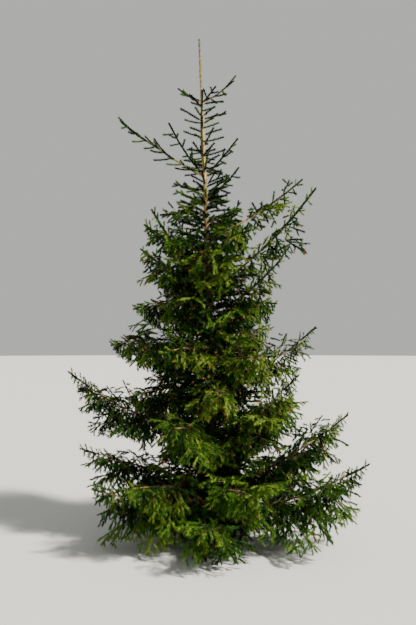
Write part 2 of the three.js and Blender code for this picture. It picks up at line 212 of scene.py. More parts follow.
class Wire:
    """A socket in a node tree. Arithmetic on it adds Math nodes, and make() adds any other node."""

    def __init__(self, tree, socket=None):
        self.tree = tree
        self.socket = socket

    def make(self, kind, values=None, output=0, **settings):
        made = self.tree.nodes.new(kind)
        for name, value in settings.items():
            setattr(made, name, value)
        for name, value in (values or {}).items():
            if isinstance(name, int):
                socket = made.inputs[name]
            else:
                socket = next(s for s in made.inputs if s.identifier == name)
            if isinstance(value, Wire):
                self.tree.links.new(value.socket, socket)
            else:
                socket.default_value = value
        if not made.outputs:
            return None
        if isinstance(output, int):
            return Wire(self.tree, made.outputs[output])
        return Wire(self.tree, next(s for s in made.outputs if s.identifier == output))

    def reckon(self, operation, first, second):
        return self.make("ShaderNodeMath", {0: first, 1: second}, operation=operation)

    def __add__(self, other):
        return self.reckon("ADD", self, other)

    def __sub__(self, other):
        return self.reckon("SUBTRACT", self, other)

    def __rsub__(self, other):
        return self.reckon("SUBTRACT", other, self)

    def __mul__(self, other):
        return self.reckon("MULTIPLY", self, other)

    def __truediv__(self, other):
        return self.reckon("DIVIDE", self, other)

    __radd__ = __add__
    __rmul__ = __mul__

    def between(self, low, high):
        """0 where the value is low, 1 where it is high, and even in between."""
        ends = {"Value": self, "From Min": low, "From Max": high}
        return self.make("ShaderNodeMapRange", ends, clamp=True)

    def attribute(self, name):
        return self.make("GeometryNodeInputNamedAttribute", {"Name": name}, data_type="FLOAT")

    def surface(self, values):
        """Closes a material's tree with a surface of these values."""
        shader = self.make("ShaderNodeBsdfPrincipled", values)
        self.make("ShaderNodeOutputMaterial", {"Surface": shader})

    def blend(self, first, second):
        """A colour from first to second by this value."""
        ends = {"Factor_Float": self, "A_Color": first, "B_Color": second}
        return self.make("ShaderNodeMix", ends, "Result_Color", data_type="RGBA")


def blank_finish(name):
    """A new material, and a wire in its empty tree."""
    finish = bpy.data.materials.new(name)
    finish.use_nodes = True
    finish.node_tree.nodes.clear()
    return finish, Wire(finish.node_tree)


BARK_DRAWN_OUT = 0.4
BLOTCHES_PER_METRE = 26
FLAKES_PER_METRE = 150
GRAIN_PER_METRE = 420


def bark_finish(name, old, young, blotch_colour, depth):
    """Bark that turns from old and flaky to smooth where the mesh says it is young, with its relief and
    painted shade in its cracks.
    """
    finish, wire = blank_finish(name)
    place = wire.make("ShaderNodeTexCoord", output="Object")
    grown = wire.make("ShaderNodeAttribute", output="Fac", attribute_name="young")
    drawn = wire.make("ShaderNodeMapping", {"Vector": place, "Scale": (1, 1, BARK_DRAWN_OUT)})
    values = {"Vector": drawn, "Scale": BLOTCHES_PER_METRE, "Detail": 3}
    blotch = wire.make("ShaderNodeTexNoise", values, "Fac")
    values = {"Vector": drawn, "Scale": FLAKES_PER_METRE}
    edges = wire.make("ShaderNodeTexVoronoi", values, "Distance", feature="F1")
    values = {"Vector": drawn, "Scale": GRAIN_PER_METRE, "Detail": 2}
    grain = wire.make("ShaderNodeTexNoise", values, "Fac")
    youth = (grown + 0.4 * blotch).between(0.2, 1.1)
    cracks = edges.between(0.25, 0.75) * (1 - 0.5 * youth)
    ground = youth.blend((*old, 1), (*young, 1))
    mottled = (blotch.between(0.4, 0.64) * 0.6).blend(ground, (*blotch_colour, 1))
    # The cracks are painted darker than the bark, as the shade in them.
    crack_shade = [0.6 * channel for channel in old]
    relief = (1 - cracks) * 0.7 + grain * 0.3
    bump = wire.make("ShaderNodeBump", {"Height": relief, "Distance": depth, "Strength": 0.7})
    values = {
        "Base Color": (cracks * 0.6).blend(mottled, (*crack_shade, 1)),
        "Roughness": 0.74 + 0.16 * blotch,
        "Normal": bump,
        "Specular IOR Level": 0.3,
    }
    wire.surface(values)
    return finish


def skin(rings):
    """Points and faces of a closed skin over rings of the same number of corners, flat at both ends."""
    count, sides = rings.shape[:2]
    row = np.arange(sides)
    following = (row + 1) % sides
    faces = []
    for k in range(count - 1):
        low, high = k * sides, (k + 1) * sides
        faces += np.stack([low + row, low + following, high + following, high + row], axis=1).tolist()
    faces.append(row[::-1].tolist())
    faces.append(((count - 1) * sides + row).tolist())
    return rings.reshape(-1, 3), faces


def in_scene(name, data):
    made = bpy.data.objects.new(name, data)
    bpy.context.scene.collection.objects.link(made)
    return made


def plain_piece(name, points, faces, young, finish):
    """An object of a mesh with one finish, which says at each point how young its bark is."""
    mesh = bpy.data.meshes.new(name)
    mesh.from_pydata(np.asarray(points).tolist(), [], faces)
    mesh.attributes.new("young", "FLOAT", "POINT").data.foreach_set("value", np.ravel(young))
    mesh.materials.append(finish)
    mesh.shade_smooth()
    mesh.update()
    return in_scene(name, mesh)


def rough(points, size, depth):
    """How far bark stands out at each point: flakes of about that size, drawn out along the stem."""
    places = points.reshape(-1, 3)
    noise = [mathutils.noise.noise((x / size, y / size, z / size / 1.7)) for x, y, z in places]
    return depth * np.array(noise).reshape(points.shape[:-1])


ring_heights = np.linspace(0, TRUNK_HEIGHT, round(TRUNK_HEIGHT / TRUNK_RING_SPACING))
z, angle = np.meshgrid(ring_heights, even_turns(TRUNK_SIDES), indexing="ij")
flare = ROOT_FLARE * np.exp(-z / ROOT_FLARE_HEIGHT)
trunk_ring = trunk_radius(z) * (1 + flare * (1 + ROOT_LOBE_DEPTH * np.cos(ROOT_LOBES * angle)))
for places in TIERS.values():
    for azimuth, height, reach, *_ in places.values():
        facing = np.maximum(np.cos(angle - math.radians(azimuth)), 0) ** 5
        collar = (COLLAR[0] + COLLAR[1] * reach) * facing
        trunk_ring += collar * np.exp(-(((z - height) / COLLAR_HEIGHT) ** 2))
outward = level_directions(angle)
trunk_points = trunk_axis(z) + outward * trunk_ring[..., None]
bark_depth = mix(*TRUNK_RELIEF, np.clip(z / FINE_BARK_HEIGHT, 0, 1))
trunk_points += outward * (bark_depth * rough(trunk_points, TRUNK_FLAKE, 1))[..., None]
trunk_points[-1] = mix(trunk_points[-1], trunk_axis(TRUNK_HEIGHT), 0.5)
# The old bark colour is dark grey-brown, partly the bark's own colour and partly painted shade inside the
# crown.
trunk_bark = bark_finish("trunk_bark", (0.07, 0.05, 0.033), (0.56, 0.39, 0.14), (0.28, 0.19, 0.085), 0.004)
smooth_low, smooth_high = SMOOTH_BARK_HEIGHTS
trunk_young = np.clip((z - smooth_low) / (smooth_high - smooth_low), 0, 1)
trunk = plain_piece("trunk_bark", *skin(trunk_points), trunk_young, trunk_bark)
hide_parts("trunk")
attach(trunk, "root")

# The limbs: boughs of the same wood, one for each place in a tier, grown out of the trunk at a collar.
# They droop a little or rise steeply and thin out towards the tip, and their bark is tan and finer than
# the trunk's. Five long ones are bare near the trunk, the others carry foliage from the trunk out.
LIMB_RADIUS = (0.0034, 0.0088)
LIMB_TIP_RADIUS = 0.002
LIMB_TAPER = 1.1
LIMB_SWEEP = 0.1
LIMB_CURL = 2.1
LIMB_SIDES = 9
LIMB_RINGS = 26
LIMB_FLAKE = 0.012
LIMB_SWELL = 0.09

# Growth is flat above the first of these heights and hangs from its limb below the second.
HANG_FROM = 3.0
HANG_FULL = 2.25
CURTAIN_MIDDLE = 0.17
LINE_STEPS = 14

# How many shoots a limb bears, where it is more open or closer grown than most.
FULLNESS = {
    "top_right": 0.6,
    "upper_right": 0.6,
    "neck_right": 0.6,
    "middle_right_front": 1.15,
    "lower_left": 1.35,
    "lower_right_front": 1.45,
    "lower_right_back": 1.3,
    "skirt_right": 1.5,
    "hem_right_front": 1.15,
}


class Limb:
    """One limb and the growth that it carries, from its place in the tiers."""

    def __init__(self, number, tier, place, azimuth, height, reach, rise, slope, bare=0):
        self.number, self.tier, self.name = number, tier, tier + "_" + place
        self.height, self.reach, self.rise, self.slope, self.bare = height, reach, rise, slope, bare
        angle = math.radians(azimuth)
        self.out = np.array([math.cos(angle), math.sin(angle), 0])
        self.aside = np.array([-math.sin(angle), math.cos(angle), 0])
        self.foot = trunk_axis(height)
        self.sweep = LIMB_SWEEP * float(chance(number, 0, 1))
        self.hang = min(max((HANG_FROM - height) / (HANG_FROM - HANG_FULL), 0), 1)
        self.steepness = min(max(rise / reach, 0), 1)
        self.fullness = FULLNESS.get(self.name, 1)
        share = np.linspace(0, 1, LINE_STEPS + 1)
        self.line = self.point(share)
        self.middle = self.line - UP * (CURTAIN_MIDDLE * self.hang * (1 - share))[:, None]

    def point(self, t):
        t = np.asarray(t, float)[..., None]
        rise = self.slope * self.reach * t + (self.rise - self.slope * self.reach) * t**LIMB_CURL
        bend = self.sweep * self.reach * t * (1 - t) * 2
        return self.foot + self.out * self.reach * t + self.aside * bend + UP * rise

    def tangent(self, t):
        t = np.asarray(t, float)
        return unit(self.point(t + 0.01) - self.point(np.maximum(t - 0.01, 0)))

    def axes(self, t):
        """The directions along the limb, level across it, and above it."""
        along = self.tangent(t)
        across = unit(np.cross(along, UP))
        return along, across, np.cross(across, along)

    def radius(self, t):
        foot = (LIMB_RADIUS[0] + LIMB_RADIUS[1] * self.reach) * mix(0.7, 1, self.hang)
        return LIMB_TIP_RADIUS + (foot - LIMB_TIP_RADIUS) * (1 - t) ** LIMB_TAPER

    def green_from(self, gap, least):
        """Where a kind of shoot starts: a gap past its bare stretch, and no nearer than least."""
        return max(self.bare + gap if self.bare else 0, least)


limbs = []
for tier, places in TIERS.items():
    for place, sizes in places.items():
        limbs.append(Limb(len(limbs), tier, place, *sizes))

# The limbs' old bark near the trunk is dark, partly its own grey-brown and partly painted shade inside the
# crown.
limb_bark = bark_finish("limb_bark", (0.06, 0.04, 0.022), (0.52, 0.37, 0.12), (0.27, 0.19, 0.075), 0.002)
by_tier = {tier: [limb for limb in limbs if limb.tier == tier] for tier in TIERS}
for tier, carried in by_tier.items():
    points, faces, young = [], [], []
    for limb in carried:
        t = np.linspace(0, 1, LIMB_RINGS)
        _, across, above = limb.axes(t)
        around = even_turns(LIMB_SIDES)
        spoke = across[:, None] * np.cos(around)[:, None] + above[:, None] * np.sin(around)[:, None]
        ring = limb.point(t)[:, None] + spoke * limb.radius(t)[:, None, None]
        swell = LIMB_SWELL * limb.radius(t)[:, None] * (1 + rough(ring, LIMB_FLAKE, 1.6))
        ring += spoke * swell[..., None]
        more_points, more_faces = skin(ring[:, ::-1])
        faces += [[corner + len(points) for corner in face] for face in more_faces]
        points += more_points.tolist()
        old_share = 0.1 if limb.name == "upper_right" else mix(-0.2, 0.5, limb.hang)
        young += np.repeat(np.clip((t - old_share) / 0.35, 0, 1), LIMB_SIDES).tolist()
    wood = plain_piece("limb_bark_" + tier, points, faces, young, limb_bark)
    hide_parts(*["mass_" + limb.name for limb in carried])
    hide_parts(*["bough_" + limb.name for limb in carried if limb.bare > 0])
    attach(wood, "root")

# The twigs: brown shoots of the last few years. A comb of them hangs from each limb, or lies flat beside
# it near the top, and side sprays stand out above. All carry finger shoots on both sides. They grow by
# the rule of the solid masses, each limb's in its own space, and are carried on to finer twigs here.
CLEARANCE = 0.008
GROUND_CLEARANCE = 0.048
ROOM_SHARES = (1, 0.88, 0.76, 0.64, 0.52, 0.42, 0.32, 0.24)
POINTS_AT_ONCE = 6000

limb_lines = np.array([limb.line for limb in limbs])
limb_middles = np.array([limb.middle for limb in limbs])
limb_hangs = np.array([limb.hang for limb in limbs])
limb_reaches = np.array([limb.reach for limb in limbs])


def distances(points, lines):
    """How far each point is from each line of straight stretches."""
    nearest = np.full((len(points), len(lines)), np.inf)
    for k in range(LINE_STEPS):
        start = lines[:, k]
        stretch = lines[:, k + 1] - start
        offset = points[:, None] - start
        share = np.clip(np.sum(offset * stretch, -1) / np.sum(stretch * stretch, -1), 0, 1)
        nearest = np.minimum(nearest, lengths(offset - stretch * share[..., None]))
    return nearest


def in_own_space(points, owners):
    """Whether each point is nearer to its own limb's curtain than to any other, clear of wood and ground,
    and inside the solid tree's box."""
    free = np.zeros(len(points), bool)
    for start in range(0, len(points), POINTS_AT_ONCE):
        some = slice(start, start + POINTS_AT_ONCE)
        part = points[some]
        owner = owners[some]
        row = np.arange(len(part))
        from_middles = distances(part, limb_middles)
        from_lines = distances(part, limb_lines)
        own = from_middles[row, owner] + CLEARANCE
        from_middles[row, owner] = np.inf
        from_lines[row, owner] = np.inf
        z = part[:, 2]
        from_trunk = lengths((part - trunk_axis(z))[:, :2])
        wood = trunk_radius(z) * (1 + ROOT_FLARE * np.exp(-z / ROOT_FLARE_HEIGHT)) + CLEARANCE
        free[some] = (
            (from_middles.min(1) > own)
            & (from_lines.min(1) > 2 * CLEARANCE)
            & (from_trunk > wood)
            & (z > GROUND_CLEARANCE)
            & (part > solid_low).all(1)
            & (part < solid_high).all(1)
        )
    return free


def drawn_back(feet, tips, owners, steps=(0.4, 0.6, 0.8, 1)):
    """Each tip, drawn back to where every step on its way is in its limb's own space, or to the foot."""
    room = np.zeros(len(feet))
    left = np.arange(len(feet))
    for share in ROOM_SHARES:
        passes = np.ones(len(left), bool)
        for step in steps:
            at = mix(feet[left], tips[left], step * share)
            passes[passes] = in_own_space(at[passes], owners[left][passes])
        room[left[passes]] = share
        left = left[~passes]
        if not len(left):
            break
    return mix(feet, tips, room[:, None])


class Shoots:
    """Shoots of one kind as bent lines, with the limb that each belongs to and its share in a spray."""

    def __init__(self, feet, bends, tips, owners, level, spray):
        self.feet, self.bends, self.tips = feet, bends, tips
        self.owners, self.level, self.spray = owners, level, spray
        self.length = lengths(tips - feet)

    def kept(self, which):
        values = (self.feet, self.bends, self.tips, self.owners, self.level, self.spray)
        return Shoots(*[value[which] for value in values])

    def point(self, s):
        s = s[..., None]
        return (1 - s) ** 2 * self.feet + 2 * s * (1 - s) * self.bends + s**2 * self.tips

    def heading(self, s):
        s = s[..., None]
        return unit((1 - s) * (self.bends - self.feet) + s * (self.tips - self.bends))


# The comb is the row of shoots on each side of a limb. It lies flat beside a young limb and hangs from an
# old one. The first of two spacings is for flat ones.
FIRST_SHOOT = 0.1
COMB_SPACING = (0.075, 0.042)
COMB_GAP = 0.03
SHOOT_ANGLE = 48
SHOOT_VARIETY = 0.22
SHORTEST_SHOOT = 0.018
FLAT_SHARE = 0.56
FLAT_TAPER = 0.5
FLAT_LONGEST = 0.2
CURTAIN_DEPTH = 0.48
CURTAIN_TAPER = 0.75
STEEP_CUT = 0.4
STEEP_LIFT = 0.75
HANG_FORWARD = 0.25
HANG_ASIDE = (0.5, 0.3)
HANG_ARCH = (0.42, 0.26, 0.04)


def comb_of(limb):
    """The row of shoots on each side of a limb, hanging or flat."""
    first = limb.green_from(COMB_GAP, FIRST_SHOOT)
    count = max(2, round((1 - first) * limb.reach * limb.fullness / mix(*COMB_SPACING, limb.hang)))
    k = np.repeat(np.arange(count), 2)
    wing = np.tile([1.0, -1.0], count)
    place = k + 0.35 + 0.3 * (wing > 0) + 0.12 * chance(limb.number, k, 9)
    t = first + (1 - first) * place / (count + 0.3)
    depth = CURTAIN_DEPTH * (1 - STEEP_CUT * limb.steepness) * min(1, 0.55 + limb.reach / 1.4)
    flat = np.minimum(FLAT_SHARE * limb.reach * (1 - t) ** FLAT_TAPER, FLAT_LONGEST)
    wanted = mix(flat, depth * (1 - t) ** CURTAIN_TAPER, limb.hang)
    wanted = wanted * (1 + SHOOT_VARIETY * chance(limb.number, k, 4 + wing))
    twist = chance(limb.number, k, wing)
    along, across, _ = limb.axes(t)
    across = across * wing[:, None]
    lean = np.radians(SHOOT_ANGLE + 6 * twist)[:, None]
    lift = (0.3 - STEEP_LIFT * limb.steepness + 0.2 * twist)[:, None]
    level = along * np.cos(lean) + across * np.sin(lean) + UP * lift
    hanging = HANG_FORWARD * along + across * (HANG_ASIDE[0] + HANG_ASIDE[1] * twist)[:, None] - UP
    down = (limb.hang * (1 - STEEP_LIFT * limb.steepness * t))[:, None]
    heading = unit(mix(level, hanging, down))
    feet = limb.point(t)
    owners = np.full(len(t), limb.number)
    tips = drawn_back(feet, feet + heading * wanted[:, None], owners)
    length = lengths(tips - feet)[:, None]
    arch = across * HANG_ARCH[0] + along * HANG_ARCH[1] + UP * HANG_ARCH[2]
    bends = mix(mix(feet, tips, 0.5) - UP * 0.06 * length, feet + arch * length, down)
    made = Shoots(feet, bends, tips, owners, along, chance(limb.number, k, 11 + wing))
    return made.kept(length[:, 0] > SHORTEST_SHOOT)


# The sprays are side boughs that stand out of a limb above its comb, and bear teeth on both sides.
SPRAY_FROM = 0.25
SPRAY_SPACING = 0.05
SPRAY_GAP = 0.04
LAST_SPRAY = 0.86
SPRAY_ANGLE = 56
SPRAY_TURNS = (8, -24, 42, -50, 20, -36)
SPRAY_SPREAD = 0.86
SPRAY_TAPER = 0.95
SPRAY_LENGTHS = (0.11, 0.56)
SPRAY_DROOP = 0.12
SPRAY_ARCH = 0.05
LEAST_ROOM = 0.05


def sprays_of(limb):
    """The sprays of a limb, on both sides in turn, each turned up or down round it."""
    first = limb.green_from(SPRAY_GAP, FIRST_SHOOT + 0.02)
    count = round((LAST_SPRAY - first) * limb.reach * limb.fullness / SPRAY_SPACING)
    if limb.hang < SPRAY_FROM:
        count = 0
    k = np.arange(count)
    t = first + (LAST_SPRAY - first) * (k + 0.25) / max(count, 1)
    side = np.where((k + limb.number) % 2, 1.0, -1.0)[:, None]
    along, across, above = limb.axes(t)
    lean = np.radians(SPRAY_ANGLE + 7 * chance(limb.number, k, 2))[:, None]
    turn = np.radians(np.take(SPRAY_TURNS, k // 2, mode="wrap") + 8 * chance(limb.number, k, 3))[:, None]
    aside = across * side * np.cos(turn) + above * np.sin(turn)
    heading = unit(along * np.cos(lean) + aside * np.sin(lean) - UP * SPRAY_DROOP * limb.hang)
    fullness = (1 - t) ** SPRAY_TAPER * (1 + 0.1 * chance(limb.number, k, 4))
    wanted = np.clip(SPRAY_SPREAD * limb.reach * fullness, *SPRAY_LENGTHS)
    feet = limb.point(t)
    owners = np.full(count, limb.number)
    tips = drawn_back(feet, feet + heading * wanted[:, None], owners)
    length = lengths(tips - feet)
    bends = mix(feet, tips, 0.5) + UP * SPRAY_ARCH * length[:, None]
    made = Shoots(feet, bends, tips, owners, np.cross(heading, UP), chance(limb.number, k, 12))
    return made.kept(length > LEAST_ROOM)


# Fingers are the last short shoots. The first of two sizes is for those on a flat limb.
FINGER_LENGTH = 0.095
FLAT_FINGERS = (0.3, 0.14)
LIMB_FINGER_SPACING = (0.1, 0.024)
LIMB_FINGER_GAP = 0.02
LIMB_FINGER_ANGLE = 44
LIMB_FINGER_TAPER = (0.25, 0.5)
LAST_LIMB_FINGER = 0.99


def limb_fingers_of(limb):
    """Short shoots all round a limb but underneath, or on both sides of a flat one, out to its tip."""
    first = limb.green_from(LIMB_FINGER_GAP, FIRST_SHOOT)
    length = (LAST_LIMB_FINGER - first) * limb.reach
    count = max(int(length * limb.fullness / mix(*LIMB_FINGER_SPACING, limb.hang) - 1.2), 0)
    k = np.arange(count)
    t = first + (LAST_LIMB_FINGER - first) * (k + 0.5) / max(count, 1)
    along, across, above = limb.axes(t)
    wing = np.where(k % 2, 0.3, math.pi - 0.3) + 0.5 * chance(limb.number, k, 14)
    turn = mix(wing, math.pi / 2 + 2.0 * chance(limb.number, k, 14), limb.hang)[:, None]
    lean = np.radians(LIMB_FINGER_ANGLE + 10 * chance(limb.number, k, 15))[:, None]
    heading = along * np.cos(lean) + (across * np.cos(turn) + above * np.sin(turn)) * np.sin(lean)
    longest = mix(min(FLAT_FINGERS[0] * limb.reach, FLAT_FINGERS[1]), FINGER_LENGTH, limb.hang)
    wanted = longest * (1 - mix(*LIMB_FINGER_TAPER, limb.hang) * t)
    wanted *= 1 + 0.3 * chance(limb.number, k, 16)
    feet = limb.point(t)
    owners = np.full(count, limb.number)
    tips = np.clip(feet + heading * wanted[:, None], solid_low, solid_high)
    length = lengths(tips - feet)
    bends = mix(feet, tips, 0.5) - UP * (0.08 * length)[:, None]
    free = in_own_space(tips, owners) | (t > 0.9)
    return Shoots(feet, bends, tips, owners, across, chance(limb.number, k, 17)).kept(free)


# Needles grow on a limb's own wood from these shares of it on, for a flat, a hanging and a steep limb.
LIMB_END = (0.1, 0.86, 0.45)
YOUNG_WOOD_HEIGHTS = (1.3, 1.8)
NEEDLE_LINES = (-90, -10, 190)
ROD_STEEPNESS = 0.88
ROD_NEEDLE_LINES = (-130, -50)


def limb_end_of(limb):
    """Lines of needles on the sides and underside of a limb's own young wood, which is bare on top. A
    steep rod has two lines more."""
    young_share = limb.steepness * float(np.interp(limb.height, YOUNG_WOOD_HEIGHTS, (0, 1)))
    flat, hanging, steep = LIMB_END
    first = mix(flat, mix(hanging, steep, young_share), limb.hang)
    t = np.array([first, mix(first, 1, 0.5), 1])
    _, across, above = limb.axes(t)
    turns = NEEDLE_LINES
    if limb.rise > ROD_STEEPNESS * limb.reach:
        turns += ROD_NEEDLE_LINES
    lines = []
    for turn in np.radians(turns):
        offset = (across * math.cos(turn) + above * math.sin(turn)) * 0.7 * limb.radius(t)[:, None]
        lines.append(limb.point(t) + offset)
    feet, middles, tips = np.moveaxis(np.array(lines), 1, 0)
    owners = np.full(len(turns), limb.number)
    level = np.repeat(limb.aside[None], len(turns), 0)
    spray = 0.5 * chance(limb.number, np.arange(len(turns)), 18) - mix(0.6, 0.3, limb.hang)
    return Shoots(feet, 2 * middles - 0.5 * (feet + tips), tips, owners, level, spray)


# The trunk bears branchlets of its own between the limbs. They stand closest in the lower half and are
# shorter the higher they stand. The lengths are for the foot, the middle and the top.
GOLDEN_ANGLE = 2.39996
TRUNK_SHOOT_HEIGHTS = (0.1, 3.64)
TRUNK_SHOOT_SPACING = {
    0.4: 0.0085,
    0.6: 0.006,
    2.2: 0.006,
    2.5: 0.0085,
    2.95: 0.0085,
    3.05: 0.022,
    3.3: 0.036,
}
TRUNK_SHOOT_LENGTHS = (0.52, 0.34, 0.175)
TRUNK_SHOOT_VARIETY = 0.35


def trunk_shoots():
    """Branchlets that the trunk bears between the limbs, each turned a golden angle from the one below."""
    heights = [TRUNK_SHOOT_HEIGHTS[0]]
    while heights[-1] < TRUNK_SHOOT_HEIGHTS[1]:
        gap = np.interp(heights[-1], list(TRUNK_SHOOT_SPACING), list(TRUNK_SHOOT_SPACING.values()))
        heights.append(heights[-1] + gap * (1 + 0.4 * chance(0, len(heights), 50)))
    z = np.array(heights)
    k = np.arange(len(z))
    up = np.clip((z - 2.2) / 0.9, 0, 1)
    out = level_directions(k * GOLDEN_ANGLE)
    low, middle, high = TRUNK_SHOOT_LENGTHS
    longest = mix(mix(low, middle, np.clip(z / 1.6, 0, 1)), high, up)
    wanted = longest * (1 + TRUNK_SHOOT_VARIETY * chance(0, k, 51))
    rise = mix(0.1, 0.42, np.clip((z - 2.4) / 0.5, 0, 1)) + mix(0.1, 0.25, up) * chance(0, k, 52)
    heading = unit(out + UP * rise[:, None])
    feet = trunk_axis(z)
    tips = feet + heading * wanted[:, None]
    owners = distances(mix(feet, tips, 0.7), limb_middles).argmin(1)
    tips = drawn_back(feet, tips, owners, (0.7, 1))
    length = lengths(tips - feet)
    bends = mix(feet, tips, 0.5) + UP * (mix(0.1, 0.04, up) * length)[:, None]
    level = unit(np.cross(heading, UP))
    return Shoots(feet, bends, tips, owners, level, chance(0, k, 53)).kept(length > LEAST_ROOM)


# Teeth and fingers grow on both sides of the shoots that carry them. A few have dried.
TOOTH_SPACING = 0.036
LONGEST_TOOTH = 0.22
BRANCHED_TOOTH = 0.12
FINGER_SPACING = 0.04
FLAT_SPACING = 1.8
LEAST_CARRIER = (0.25, 0.05)
LAST_SIDE_SHOOT = 0.97
SIDE_SHOOT_VARIETY = 0.24
SHORTEST_FINGER = 0.016
FLAT_FOLD = -0.22
DRY_FROM = 0.975


def side_shoots(carrier, spacing, first, angle, share, longest, fold, loose, salt):
    """Shoots on both sides of each carrier in turn, leaning forward and folded down. Loose ones stand out
    all round. Each is at most a share of its carrier long."""
    hang = limb_hangs[carrier.owners]
    gaps = spacing * mix(FLAT_SPACING, 1, hang)
    count = np.round(carrier.length * (LAST_SIDE_SHOOT - first) / gaps).astype(int)
    count = np.where(carrier.length > mix(*LEAST_CARRIER, hang), count, 0)
    of = np.repeat(np.arange(len(count)), count)
    k = np.arange(len(of)) - np.repeat(np.cumsum(count) - count, count)
    on = carrier.kept(of)
    s = first + (LAST_SIDE_SHOOT - first) * (k + 0.5 + 0.25 * chance(of, k, salt)) / count[of]
    feet = on.point(s)
    along = on.heading(s)
    side = unit(on.level - along * dot(on.level, along))
    third = np.cross(along, side)
    turn = loose * chance(of, k, salt + 1)
    side = side * np.cos(turn)[:, None] + third * np.sin(turn)[:, None]
    side *= np.where((k + of) % 2, 1.0, -1.0)[:, None]
    hang = limb_hangs[on.owners][:, None]
    lean = np.radians(angle + 9 * chance(of, k, salt + 2))[:, None]
    heading = unit(along * np.cos(lean) + side * np.sin(lean) - UP * mix(FLAT_FOLD, fold, hang))
    wanted = np.minimum(share * on.length * (1 - s) ** 0.5, longest * (1 - 0.3 * s))
    wanted *= 1 + SIDE_SHOOT_VARIETY * chance(of, k, salt + 3)
    tips = drawn_back(feet, feet + heading * wanted[:, None], on.owners, (0.5, 1))
    length = lengths(tips - feet)[:, None]
    bends = mix(feet, tips, 0.5) + (along * 0.08 - UP * mix(0.08, -0.05, hang)) * length
    level = np.cross(heading, np.cross(along, side))
    spray = np.clip(on.spray + 0.45 * chance(of, k, salt + 4), -1, 0.98)
    spray[chance(of, k, salt + 5) > DRY_FROM] = 1
    return Shoots(feet, bends, tips, on.owners, level, spray).kept(length[:, 0] > SHORTEST_FINGER)


def joined(kinds):
    fields = ("feet", "bends", "tips", "owners", "level", "spray")
    return Shoots(*[np.concatenate([getattr(kind, field) for kind in kinds]) for field in fields])


combs = joined([comb_of(limb) for limb in limbs])
sprays = joined([sprays_of(limb) for limb in limbs])
trunk_twigs = trunk_shoots()
limb_fingers = joined([limb_fingers_of(limb) for limb in limbs])
limb_ends = joined([limb_end_of(limb) for limb in limbs])
tooth = {"spacing": TOOTH_SPACING, "longest": LONGEST_TOOTH}
finger = {"spacing": FINGER_SPACING, "longest": FINGER_LENGTH}
close_finger = {"spacing": 0.7 * FINGER_SPACING, "longest": FINGER_LENGTH}
teeth = side_shoots(sprays, first=0.1, angle=56, share=0.62, fold=0.42, loose=0.6, salt=20, **tooth)
branched = teeth.kept(teeth.length > BRANCHED_TOOTH)
comb_fingers = side_shoots(combs, first=0.14, angle=48, share=0.6, fold=0.46, loose=0.9, salt=30, **finger)
tooth_fingers = side_shoots(
    branched, first=0.2, angle=46, share=0.6, fold=0.44, loose=0.5, salt=40, **finger
)
trunk_fingers = side_shoots(
    trunk_twigs, first=0.1, angle=50, share=0.55, fold=0.4, loose=0.8, salt=60, **close_finger
)

# A shoot's tone goes from -1, black green, to 1, dry. These say how much its chance and its place along
# the limb count in it, and how much painted shade darkens it where it stands above its limb and inside the
# crown.
TONE_BY_CHANCE = 0.9
TONE_BY_REACH = 0.7
SHADE_BY_HEIGHT = 0.4
SHADE_INSIDE = 0.5
SHADED_REACH_SHARE = 0.4

# How much darker the growth of a tier or a limb is painted than the rest, as painted shade on the left,
# away from the key light, and in the top tiers, and below 0 how much lighter, as painted light.
PAINTED_SHADE = {
    "top": 0.45,
    "leader": 0.35,
    "crown": 0.3,
    "spire": 0.3,
    "upper": -0.25,
    "neck": -0.2,
    "waist_left": 0.3,
    "waist_left_front": 0.35,
    "middle_left_front": 0.1,
    "middle_left": 0.25,
    "girth_left": 0.3,
    "lower_left": 0.5,
    "skirt_left": 0.15,
}


def dealt_tones(kind):
    """The tone of each shoot: mostly chance, lighter out at the limb's end, with painted shade on top of
    its limb and inside the crown.
    """
    out = lengths((kind.tips - trunk_axis(kind.tips[:, 2]))[:, :2]) / limb_reaches[kind.owners]
    step = np.clip(out, 0, 1) * LINE_STEPS
    low = np.minimum(step.astype(int), LINE_STEPS - 1)
    heights = limb_lines[kind.owners, low, 2]
    heights = mix(heights, limb_lines[kind.owners, low + 1, 2], step - low)
    above = np.clip(kind.tips[:, 2] - heights, -0.35, 0.1)
    painted_dark = np.array([PAINTED_SHADE.get(limb.name, PAINTED_SHADE.get(limb.tier, 0)) for limb in limbs])[kind.owners]
    painted_dark = painted_dark + SHADE_INSIDE * np.clip(1 - out / SHADED_REACH_SHARE, 0, 1)
    placed = TONE_BY_CHANCE * kind.spray + TONE_BY_REACH * (out - 0.5) - SHADE_BY_HEIGHT * (above + 0.08)
    placed = np.clip(placed - painted_dark, -1, 0.98)
    return np.where(kind.spray > 0.99, 1, placed)


# How thick a shoot is by its length, and how large and how sparse its needles are inside the crown.
THIN_SHARE = 0.55
FULL_THICKNESS_LENGTH = 0.3
INSIDE_SLOPE = 1.35
INSIDE_NEEDLES = 0.62
INSIDE_SPARSE = 0.4
SHOOT_NEEDLES = (1.1, 1.3)
LIMB_NEEDLES = (0.8, 1.25)


def growing_on(numbers, kinds):
    """Those kinds that have a shoot on one of these limbs."""
    return [kind for kind in kinds if np.isin(kind[0].owners, numbers).any()]


